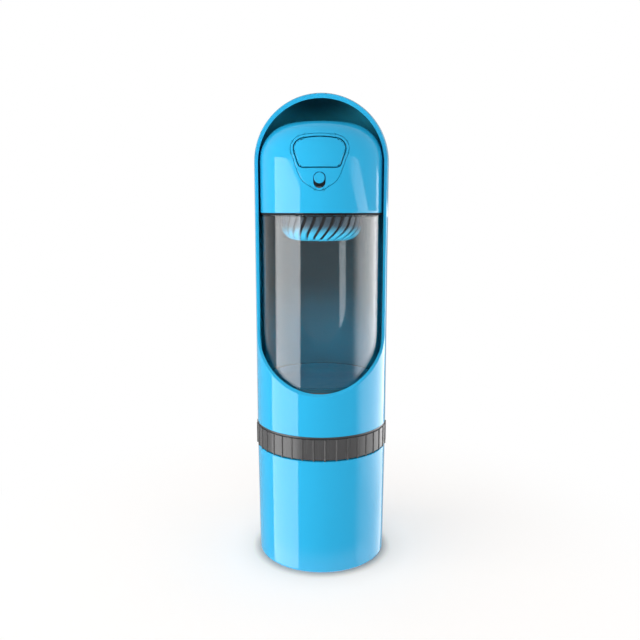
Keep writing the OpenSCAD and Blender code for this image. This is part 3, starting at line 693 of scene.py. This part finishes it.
def dome_shell(outer, inner, edge=0.3 * MM):
    outside, inside = dome(outer), dome(inner)
    for line in (outside, inside):
        line[0] = line[0][:2] + (edge,)
    return turned(outside + inside[::-1])


def dome_solid(inset):
    return turned(dome(inset) + [(0, SEAM_Z, 0)])


print("dome corners:", len(dome(0)), "top at", mm(dome(0)[-1][1]), "mm")

# %% [markdown]
# ## Outlines of the controls
# Button, insert and lock slot are flat outlines that are pushed through the dome along Y. Each is
# the tight outline round a few circles, so corners are round and sides straight. A convex hull of
# two rows of circle points, near and far, gives the whole cutter in one operator.

# %% Hulled prisms
def hulled(name, circles, near, far, grow=0.0, points=48):
    """A prism along Y round circles given as (x, z, radius)."""
    bm = bmesh.new()
    for x, z, radius in circles:
        for i in range(points):
            a = 2 * pi * i / points
            for y in (near, far):
                bm.verts.new((x + (radius + grow) * cos(a), y, z + (radius + grow) * sin(a)))
    found = bmesh.ops.convex_hull(bm, input=bm.verts[:])
    inner = only(found["geom_interior"], BMVert)
    bmesh.ops.delete(bm, geom=inner, context="VERTS")
    bmesh.ops.dissolve_limit(bm, angle_limit=0.001, verts=bm.verts[:], edges=bm.edges[:])
    face_out(bm)
    return link(name, mesh_of(bm, name))


PEG_Z = SEAM_Z + 17.6 * MM
BUTTON_Z = SEAM_Z + 22.6 * MM
BUTTON_TOP = BUTTON_Z + 16 * MM
ARCH = 0.7 * MM  # how much the button's top edge drops to its corners
HIGH_X, HIGH_R = 8.1 * MM, 5.5 * MM
LOW_X, LOW_R = 8.3 * MM, 3.2 * MM
PEG_R = 2.75 * MM
SLOT_R = PEG_R + 0.3 * MM
MARGIN = 1.3 * MM  # from the button's outline to the insert's
SHIELD_LOW_Z = PEG_Z - 0.7 * MM
NEAR, FAR = -SHOULDER_X, -60 * MM
across = (-1, -2 / 3, -1 / 3, 0, 1 / 3, 2 / 3, 1)
arch_spots = [(t * HIGH_X, BUTTON_TOP - HIGH_R - ARCH * t * t) for t in across]
low_spots = [(side * LOW_X, BUTTON_Z + LOW_R) for side in (-1, 1)]
button_circles = [(x, z, HIGH_R) for x, z in arch_spots] + [(x, z, LOW_R) for x, z in low_spots]
insert_circles = [(x, z, HIGH_R + MARGIN) for x, z in arch_spots]
insert_circles += [(0, PEG_Z + 6.4 * MM, 11.5 * MM), (0, SHIELD_LOW_Z, 5.5 * MM)]
slot_circles = [(0, PEG_Z, SLOT_R), (0, PEG_Z - 2 * MM, SLOT_R)]
print("button from and to this height in mm:", mm(BUTTON_Z, BUTTON_TOP))

# %% [markdown]
# ## The head cover
# The domed shell, with a shield-shaped window for the insert and a hole for the spout behind the
# crown's middle. Both are cut before the edges are rounded, so that all of them get one rounding.

# %% Head cover
HEAD_WALL = 2 * MM
SPOUT_HOLE_R = 4.45 * MM
cover = object_from(dome_shell(0, HEAD_WALL), "domed_head", sky_blue)
boolean(cover, hulled("insert_cutter", insert_circles, NEAR, FAR, 0.15 * MM), "DIFFERENCE")
spout_low, spout_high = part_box("outlet_spout")
spout_y = (spout_low.y + spout_high.y) / 2
bm = bmesh.new()
cylinder(bm, SPOUT_HOLE_R, 8 * MM, 64)
move(bm, bm.verts[:], (0, spout_y, CROWN_Z))
boolean(cover, object_from(bm, "spout_cutter", sky_blue), "DIFFERENCE")
soften(cover, 0.25 * MM)
place(cover, "head_body", "blue_plastic", "head_cover")

# %% [markdown]
# ## The shield-shaped insert
# A thicker piece of the same dome, cut to the shield, with a lip behind the cover's edge that keeps
# it from falling out. The button and the lock's peg move in its two openings. Its fine rounded edge
# against the cover's rounded edge is what draws the thin groove round it.

# %% Insert
INSERT_T = 3.3 * MM
LIP = 1.5 * MM  # how far the lip reaches past the shield at the top
insert = object_from(dome_shell(0, INSERT_T), "shield_insert", sky_blue)
boolean(insert, hulled("shield", insert_circles, NEAR, FAR), "INTERSECT")
lip = object_from(dome_shell(HEAD_WALL + 0.05 * MM, INSERT_T), "lip", sky_blue)
lip_circles = [(x, z, r + LIP) for x, z, r in insert_circles[:-1]]
lip_circles += [(0, SHIELD_LOW_Z, 6.35 * MM)]
boolean(lip, hulled("lip_shape", lip_circles, NEAR, FAR), "INTERSECT")
boolean(insert, lip, "UNION")
for name, circles in (("button_hole", button_circles), ("slot_hole", slot_circles)):
    boolean(insert, hulled(name, circles, NEAR + 1 * MM, FAR), "DIFFERENCE")
soften(insert, 0.2 * MM)
place(insert, "head_body", "blue_plastic", "control_panel")

# %% [markdown]
# ## The push button
# A hollow cap with the dome's own curve as its face, a stop flange behind the insert, and a tongue
# whose sloping end pushes the valve down. The slope is a bisect plane at 45 degrees: what lies
# behind it is cleared and the cut is closed with one face.

# %% Push button
GAP = 0.5 * MM  # between the button and the opening it moves in
CAP_WALL = 1.4 * MM
button_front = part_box("release_button")[0].y
FLANGE_Y = button_front + BODY_R - 25.2 * MM
cap = object_from(dome_solid(0), "push_button", sky_blue)
boolean(cap, hulled("outline", button_circles, FLANGE_Y, FAR, -GAP), "INTERSECT")
hollow = object_from(dome_solid(2 * MM), "hollow", sky_blue)
inner_outline = hulled("inner_outline", button_circles, FLANGE_Y + 1 * MM, FAR, -GAP - CAP_WALL)
boolean(hollow, inner_outline, "INTERSECT")
boolean(cap, hollow, "DIFFERENCE")
flange_circles = [(side * 9.9 * MM, BUTTON_Z + 7.4 * MM, 4.6 * MM) for side in (-1, 1)]
flange_circles += [(x, z, LOW_R + 1 * MM) for x, z in low_spots]
flange = hulled("flange", flange_circles, FLANGE_Y - 0.01 * MM, FLANGE_Y + 1.2 * MM)


def block(low, high, round_by=0.0):
    bm = bmesh.new()
    bmesh.ops.create_cube(bm, size=1)
    low, high = Vector(low), Vector(high)
    bmesh.ops.scale(bm, verts=bm.verts[:], vec=high - low)
    move(bm, bm.verts[:], (low + high) / 2)
    if round_by:
        round_edges(bm, bm.edges[:], round_by, 3)
    return bm


ROOM_X = 5.6 * MM  # half the width of the opening in the flange
TONGUE_X = 2.6 * MM
TONGUE_Z = SEAM_Z + 31.4 * MM
TONGUE_TOP = TONGUE_Z + 4.5 * MM
TONGUE_FRONT, TONGUE_BACK = -31.3 * MM, 2 * MM
SLOPE_Z = TONGUE_Z + 2.78 * MM  # the sloping end has this height in the plane Y = 0
bm = block((-ROOM_X, FLANGE_Y - 3 * MM, BUTTON_Z + 3 * MM),
           (ROOM_X, FLANGE_Y + 3 * MM, BUTTON_TOP + 5 * MM))
boolean(flange, object_from(bm, "room", sky_blue), "DIFFERENCE")
bm = block((-TONGUE_X, TONGUE_FRONT, TONGUE_Z), (TONGUE_X, TONGUE_BACK, TONGUE_TOP))
slope = bmesh.ops.bisect_plane(bm, geom=bm.verts[:] + bm.edges[:] + bm.faces[:], clear_inner=True,
                               plane_co=(0, 0, SLOPE_Z), plane_no=(0, -1, 1))
bmesh.ops.contextual_create(bm, geom=only(slope["geom_cut"], BMEdge))
face_out(bm)
boolean(cap, flange, "UNION")
boolean(cap, object_from(bm, "tongue", sky_blue), "UNION")
soften(cap, 0.45 * MM, 3)
place(cap, "button_body", "blue_plastic", "release_button")

# %% [markdown]
# ## The lock's peg
# A round peg on a small plate that slides behind the insert. Its rim is well rounded so that it
# shows as a bright ring. The plate is painted dark as painted shade, so that the slot round the peg
# reads as a hole.

# %% Lock peg
peg_low, peg_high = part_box("lock_slider")
PEG_BACK = -29.3 * MM  # the round part ends here
PLATE_Y = -29.35 * MM  # the plate begins here
PAINTED_SHADE_Y = -29.5 * MM  # and its dark finish, painted shade, a little before it
length = PEG_BACK - peg_low.y
bm = bmesh.new()
cylinder(bm, PEG_R, length, 96)
rims = [e for e in bm.edges if len(e.link_faces) == 2 and e.calc_face_angle(0) > 1]
round_edges(bm, rims, 0.4 * MM, 4)
turn(bm, bm.verts[:], pi / 2, "X")
move(bm, bm.verts[:], (0, peg_low.y + length / 2, PEG_Z))
peg = object_from(bm, "lock_peg", sky_blue)
plate = object_from(block((peg_low.x, PLATE_Y, peg_low.z), peg_high, 0.25 * MM), "plate", sky_blue)
boolean(peg, plate, "UNION")
soften(peg, 0.1 * MM, 1, angle=radians(50))
# The plate's faces get the dark grey: painted shade seen through the slot.
peg.data.materials.append(dark_plastic)
for face in peg.data.polygons:
    face.material_index = int(face.center.y > PAINTED_SHADE_Y)
place(peg, "lock_body", "blue_plastic", "lock_slider")

# %% [markdown]
# ## The filter basket
# A collar, a small floor and twenty-eight blades between them. Each blade runs straight down,
# then bends inward to the floor while the whole blade is swept sideways, more and more toward its
# foot. It is a flat rectangle that is extruded, spun through nearly a quarter turn and then twisted.

# %% Filter basket
basket_low, basket_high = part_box("filter_basket")
BLADES = 28
BLADE_W, BLADE_T = 3.4 * MM, 1.2 * MM
BLADE_BEND = 9.0 * MM
BLADE_TURN = radians(88)
BLADE_SWEEP = radians(21)
HUB_T = 1.0 * MM
basket_r = basket_high.x
collar_in = basket_r - 1.5 * MM
blade_r = basket_r - 0.3 * MM
floor_z = basket_low.z
collar_z = SEAM_Z + 0.3 * MM
blade_top = collar_z + 1 * MM
bend_z = floor_z + BLADE_BEND
bend_x = blade_r - BLADE_BEND
hub_r = bend_x + 0.8 * MM
hub_top = floor_z + HUB_T


def one_blade(straight_steps=4, bend_steps=16):
    blade = bmesh.new()
    corners = [(blade_r - BLADE_T, -1), (blade_r, -1), (blade_r, 1), (blade_r - BLADE_T, 1)]
    verts = [blade.verts.new((x, side * BLADE_W / 2, blade_top)) for x, side in corners]
    face = blade.faces.new(verts)
    for _ in range(straight_steps):
        grown = bmesh.ops.extrude_face_region(blade, geom=[face])
        face = only(grown["geom"], BMFace)[0]
        move(blade, face.verts[:], (0, 0, (bend_z - blade_top) / straight_steps))
    bmesh.ops.spin(blade, geom=[face], cent=(bend_x, 0, bend_z), axis=(0, 1, 0), angle=BLADE_TURN,
                   steps=bend_steps)
    bmesh.ops.remove_doubles(blade, verts=blade.verts[:], dist=TINY)
    inner = [f for f in blade.faces if len(f.verts) == 4 and all(len(e.link_faces) > 2 for e in f.edges)]
    bmesh.ops.delete(blade, geom=inner, context="FACES_ONLY")
    face_out(blade)
    long_edges = [e for e in blade.edges if e.is_manifold and e.calc_face_angle(0) > radians(60)]
    round_edges(blade, long_edges, 0.3 * MM, 3)
    for vert in blade.verts:
        vert.co.y *= abs(vert.co.x) / blade_r
        fall = (blade_top - vert.co.z) / (blade_top - floor_z)
        vert.co.rotate(Matrix.Rotation(-BLADE_SWEEP * fall * fall, 3, "Z"))
    return blade


def add_copies(bm, part, name, count):
    """Adds a part to the working copy as often as wanted, turned evenly round the axis."""
    mesh = mesh_of(part, name)
    for i in range(count):
        mesh.transform(Matrix.Rotation(2 * pi / count, 4, "Z"))
        bm.from_mesh(mesh)
    bpy.data.meshes.remove(mesh)


bm = turned([(collar_in, collar_z, 0.3 * MM), (basket_r, collar_z, 0.3 * MM),
             (basket_r, basket_high.z, 0.3 * MM), (collar_in, basket_high.z, 0.3 * MM)], 160)
hub = turned([(0, floor_z, 0), (hub_r, floor_z, 0.4 * MM), (hub_r, hub_top, 0.2 * MM),
              (0, hub_top, 0)], 96)
add_copies(bm, one_blade(), "blade", BLADES)
add_copies(bm, hub, "hub", 1)
# The blades carry painted light low down and painted shade higher up.
place(object_from(bm, "swirl_basket", blades_painted_light_and_shade), "filter_body", "blue_plastic", "filter_basket")

# %% [markdown]
# ## The valve's spring
# A round wire spun four turns while it climbs. When the button is pressed the stem comes down on
# its top end.

# %% Valve spring
spring_low, spring_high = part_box("valve_spring")
TURNS = 4
COIL_STEPS = TURNS * 48
WIRE_R = 0.4 * MM
WIRE_POINTS = 12
coil_r = spring_high.x - WIRE_R
coil_height = spring_high.z - spring_low.z
climb = (coil_height - 2 * WIRE_R) / COIL_STEPS
bm = bmesh.new()
ring = []
for i in range(WIRE_POINTS):
    angle = 2 * pi * i / WIRE_POINTS
    spot = (coil_r + WIRE_R * cos(angle), 0, spring_low.z + WIRE_R * (1 + sin(angle)))
    ring.append(bm.verts.new(spot))
wire_end = bm.faces.new(ring)
spin(bm, [wire_end], 2 * pi * TURNS, COIL_STEPS, climb)
face_out(bm)
coil = place(object_from(bm, "coil_spring", steel), "head_body", "steel", "valve_spring")
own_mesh(coil)

# %% [markdown]
# ## Finishes for the pieces that keep their CAD shape
# These nodes are inside or small, and their shape is right as it stands. Each gets the material of
# what it is made of, and so do the nodes that a drawn piece stands for.

# %% CAD nodes
FINISHES = [
    (sky_blue, "head_cover control_panel release_button lock_slider outer_sleeve food_cup"),
    (sky_blue, "filter_basket filter_cap outlet_spout"),
    (smoke_clear, "water_bottle"),
    (seat_painted_light_and_shade, "bottle_seat"),
    (grip_rubber, "grip_ring"),
    (dark_plastic, "bayonet_ring base_deck"),
    (pale_plastic, "food_lid valve_housing valve_stem retainer_frame"),
    (seal_rubber, "seam_gasket food_seal neck_washer valve_seal stem_seal vent_valve trough_seal"),
    (steel, "valve_spring frame_screws"),
    (carbon, "filter_cartridge"),
]
bare = set(nodes)
for material, names in FINISHES:
    for name in names.split():
        bare.remove(name)
        for slot in nodes[name].material_slots:
            slot.material = material
print("nodes without a finish:", sorted(bare))

# %% [markdown]
# ## Floor and background
# The camera should see clean white with a soft shadow, while the shiny skin should mirror the
# lower half of the tall lamps. No plain material does both, so the floor answers each kind of ray
# in its own way. To the camera it is paper that glows a little, but not under the foot, and passes
# into pure white farther out; the missing glow and a darker paper colour beside the cup's edge
# deepen the real shadow there with painted shadow. To scattered light it is light grey paper.
# Mirrored light passes through it, but for a glow right in front of the cup's foot, where the skin
# shows the paper.

# %% Floor
WHITE = (1, 1, 1, 1)
PAPER = (0.83, 0.775, 0.735)  # what the paper gives back, which carries the shadow
PAPER_PAINTED_SHADOW = (0.72, 0.64, 0.57)  # right beside the cup: painted shadow of its edge on the paper
PLAIN_PAPER = (0.80, 0.80, 0.80)
FLOOR_LIFT = 0.39  # the glow that the camera sees
FOOT_GLOW = 0.95  # what the skin mirrors of the paper at the foot
# Each change has a place where it starts and one where it ends, in metres from the axis.
INTO_WHITE = (0.03, 0.24)
SHADED_EDGE = (0.037, 0.053)
# the glow fades out toward the foot, which paints a contact shadow there
LIFT_STARTS = (0.0335, 0.043)
GLOW_ENDS = (0.044, 0.066)
FRONT_ENDS = (-0.036, -0.018)  # this one along Y, from the front toward the sides
bm = bmesh.new()
bmesh.ops.create_grid(bm, x_segments=1, y_segments=1, size=8.0)
floor = link("floor", mesh_of(bm, "floor"))
paper, graph = new_material("white_paper")
path = graph.add("ShaderNodeLightPath").outputs
on_floor = graph.add("ShaderNodeTexCoord").outputs["Object"]
distance = graph.length(on_floor)
# Painted shadow: the paper is darker beside the cup's edge, and its glow fades out under the foot.
paper_tone = graph.blend(graph.follow(distance, *SHADED_EDGE), tone(PAPER_PAINTED_SHADOW), tone(PAPER))
lift = graph.follow(distance, *LIFT_STARTS, high=FLOOR_LIFT, easing="SMOOTHERSTEP")
diffuse = graph.add("ShaderNodeBsdfDiffuse", {"Color": paper_tone}).outputs[0]
glow = graph.add("ShaderNodeEmission", {"Color": WHITE, "Strength": lift}).outputs[0]
near_floor = graph.add("ShaderNodeAddShader", {0: diffuse, 1: glow})
far_floor = graph.add("ShaderNodeEmission", {"Color": WHITE, "Strength": path["Is Camera Ray"]})
seen = graph.mix(graph.follow(distance, *INTO_WHITE, easing="SMOOTHSTEP"), near_floor, far_floor)
plain = graph.add("ShaderNodeBsdfDiffuse", {"Color": tone(PLAIN_PAPER)})
unmirrored = graph.mix(path["Is Camera Ray"], plain, seen)
at_foot = graph.follow(distance, *GLOW_ENDS, FOOT_GLOW, 0.0, "SMOOTHSTEP")
in_front = graph.follow(graph.part(on_floor, "Y"), *FRONT_ENDS, 1.0, 0.0)
at_front = graph.calculate("MULTIPLY", at_foot, in_front)
foot_glow = graph.add("ShaderNodeEmission", {"Color": WHITE, "Strength": at_front}).outputs[0]
clear = graph.add("ShaderNodeBsdfTransparent").outputs[0]
mirrored = graph.add("ShaderNodeAddShader", {0: clear, 1: foot_glow})
mixed = graph.mix(path["Is Glossy Ray"], unmirrored, mirrored)
graph.add("ShaderNodeOutputMaterial", {"Surface": mixed.outputs[0]})
floor.data.materials.append(paper)
print("floor of", round(floor.dimensions.x), "m with", len(graph.tree.nodes), "nodes in its material")

# %% [markdown]
# ## Surroundings
# The camera sees plain white, also through the clear bottle. The skin mirrors a dim room, or the
# blue would look washed out. A lamp can't be found through a bent clear wall, so what lies behind
# the plastic would stay too dark: for light that was scattered there the white is stronger.

# %% Surroundings
LIGHT_THROUGH = 2.6  # how much stronger the white is for surfaces behind clear plastic
ROOM_FRONT, ROOM_BACK = 0.30, 0.52
FRONT_TO_BACK = (-0.9, 0.3)  # the room's light changes between these parts of +Y
world = bpy.data.worlds.new("studio")
bpy.context.scene.world = world
world.use_nodes = True
graph = Graph(world.node_tree)
path = graph.add("ShaderNodeLightPath").outputs
toward = graph.add("ShaderNodeTexCoord").outputs["Generated"]
glow = graph.follow(graph.part(toward, "Y"), *FRONT_TO_BACK, ROOM_FRONT, ROOM_BACK)
scattered = graph.calculate("GREATER_THAN", path["Diffuse Depth"], 0.5)
lamplight = graph.follow(scattered, 0.0, 1.0, 1.0, LIGHT_THROUGH)
unmirrored = graph.calculate("LESS_THAN", path["Glossy Depth"], 0.5)
through = graph.calculate("MULTIPLY", path["Is Transmission Ray"], unmirrored)
direct = graph.calculate("MAXIMUM", path["Is Camera Ray"], through)
room = graph.add("ShaderNodeBackground", {"Color": WHITE, "Strength": glow})
white = graph.add("ShaderNodeBackground", {"Color": WHITE, "Strength": lamplight})
graph.add("ShaderNodeOutputWorld", {"Surface": graph.mix(direct, room, white).outputs[0]})
print("the room gives", ROOM_FRONT, "in front and", ROOM_BACK, "behind")

# %% [markdown]
# ## A soft box
# What one sees on a shiny thing is the mirror image of its lamps, so a studio uses big soft boxes.
# An area lamp does this. Its nodes shape the light: a fade lets it grow across the width, which
# gives a streak one soft edge, and a dim weakens what lies below a height. Light that only went
# straight through clear plastic doesn't find the lamp, or the boxes would show through the bottle.
# Fills aren't mirrored; they only lift the shade.

# %% Soft boxes
def lamp_share(graph, mirrored, fade, dim):
    """What share of its light the lamp gives, from the light's path and the place on the lamp."""
    path = graph.add("ShaderNodeLightPath").outputs
    unmirrored = graph.calculate("LESS_THAN", path["Glossy Depth"], 0.5)
    unscattered = graph.calculate("LESS_THAN", path["Diffuse Depth"], 0.5)
    entered = graph.calculate("GREATER_THAN", path["Transmission Depth"], 0.5)
    clean = graph.calculate("MULTIPLY", unmirrored, unscattered)
    straight = graph.calculate("MULTIPLY", clean, entered)
    shares = [graph.calculate("SUBTRACT", 1.0, straight)]
    spot = graph.add("ShaderNodeNewGeometry").outputs
    if dim:
        start, end, share = dim
        shares.append(graph.follow(graph.part(spot["Position"], "Z"), start, end, share))
    if fade:
        start, end, share = fade
        across = graph.part(spot["Parametric"], "X")
        first = graph.follow(across, start, end, 0.0, share, "SMOOTHSTEP")
        second = graph.follow(across, end, 1.0, 0.0, 1 - share)
        shares.append(graph.calculate("ADD", first, second))
    if not mirrored:
        shares.append(unmirrored)
    total = shares[0]
    for share in shares[1:]:
        total = graph.calculate("MULTIPLY", total, share)
    return total


def soft_box(name, azimuth, distance, width, low, high, radiance, roll=0.0, tip=0.0, mirrored=True,
             fade=None, dim=None):
    """A flat lamp facing the axis; azimuth is counted from the front, right is positive. The light
    grows to fade's share from its start to its end across the width, and then to full. Below dim's
    start it is dim's share, above its end full."""
    data = bpy.data.lights.new(name, "AREA")
    data.shape = "RECTANGLE"
    data.size = width
    data.size_y = high - low
    data.energy = radiance * pi * width * (high - low)
    data.use_nodes = True
    graph = Graph(data.node_tree)
    glow = graph.add("ShaderNodeEmission", {"Strength": lamp_share(graph, mirrored, fade, dim)})
    graph.add("ShaderNodeOutputLight", {"Surface": glow.outputs[0]})
    lamp = link(name, data)
    around = radians(azimuth)
    lamp.location = (distance * sin(around), -distance * cos(around), (high + low) / 2)
    facing = Matrix.Rotation(around, 4, "Z") @ Matrix.Rotation(pi / 2 - radians(tip), 4, "X")
    lamp.rotation_euler = (facing @ Matrix.Rotation(radians(roll), 4, "Z")).to_euler()
    lamp.visible_glossy = mirrored
    print(name, "at", azimuth, "degrees,", width, "m wide,", round(high - low, 3), "m high")


print("a lamp of 1 by 1 m and radiance 1 gives", round(pi, 2), "watts")

# %% [markdown]
# ## Lights
# Four boxes are mirrored by the skin. The left one gives the long white streak down head, sleeve
# and cup; its top edge is mirrored at the shoulder, so the hood's ball stays clean. The right one
# lights the right side from the seam down to the foot, brightest at the edge and weaker low down.
# Two low slanted ones above it draw the strips on the head's right side. Three wide fills lift the
# front, the left one most.

# %% Lights
DISTANCE = 0.9
soft_box("left_box", -66, DISTANCE, 0.93, -0.60, 0.295, 3.8, roll=-6)
soft_box("right_box", 104, DISTANCE, 1.74, -0.6, 0.19, 3.9, fade=(0.0, 0.30, 0.62), dim=(-0.38, -0.22, 0.5))
soft_box("right_slant", 74, DISTANCE, 0.96, 0.19, 0.272, 3.4, roll=-12,
         fade=(0.0, 0.42, 0.62), dim=(0.189, 0.191, 0))
soft_box("right_edge", 142, DISTANCE, 0.70, 0.16, 0.235, 2.2, roll=-7.5, dim=(0.186, 0.188, 0))
soft_box("left_fill", -60, 1.6, 1.6, 0.1, 1.3, 1.7, tip=15, mirrored=False)
soft_box("front_fill", 0, 1.8, 1.6, 0.2, 1.6, 1.5, tip=20, mirrored=False)
soft_box("right_fill", 60, 1.6, 1.2, 0.1, 1.3, 0.5, tip=15, mirrored=False)

# %% [markdown]
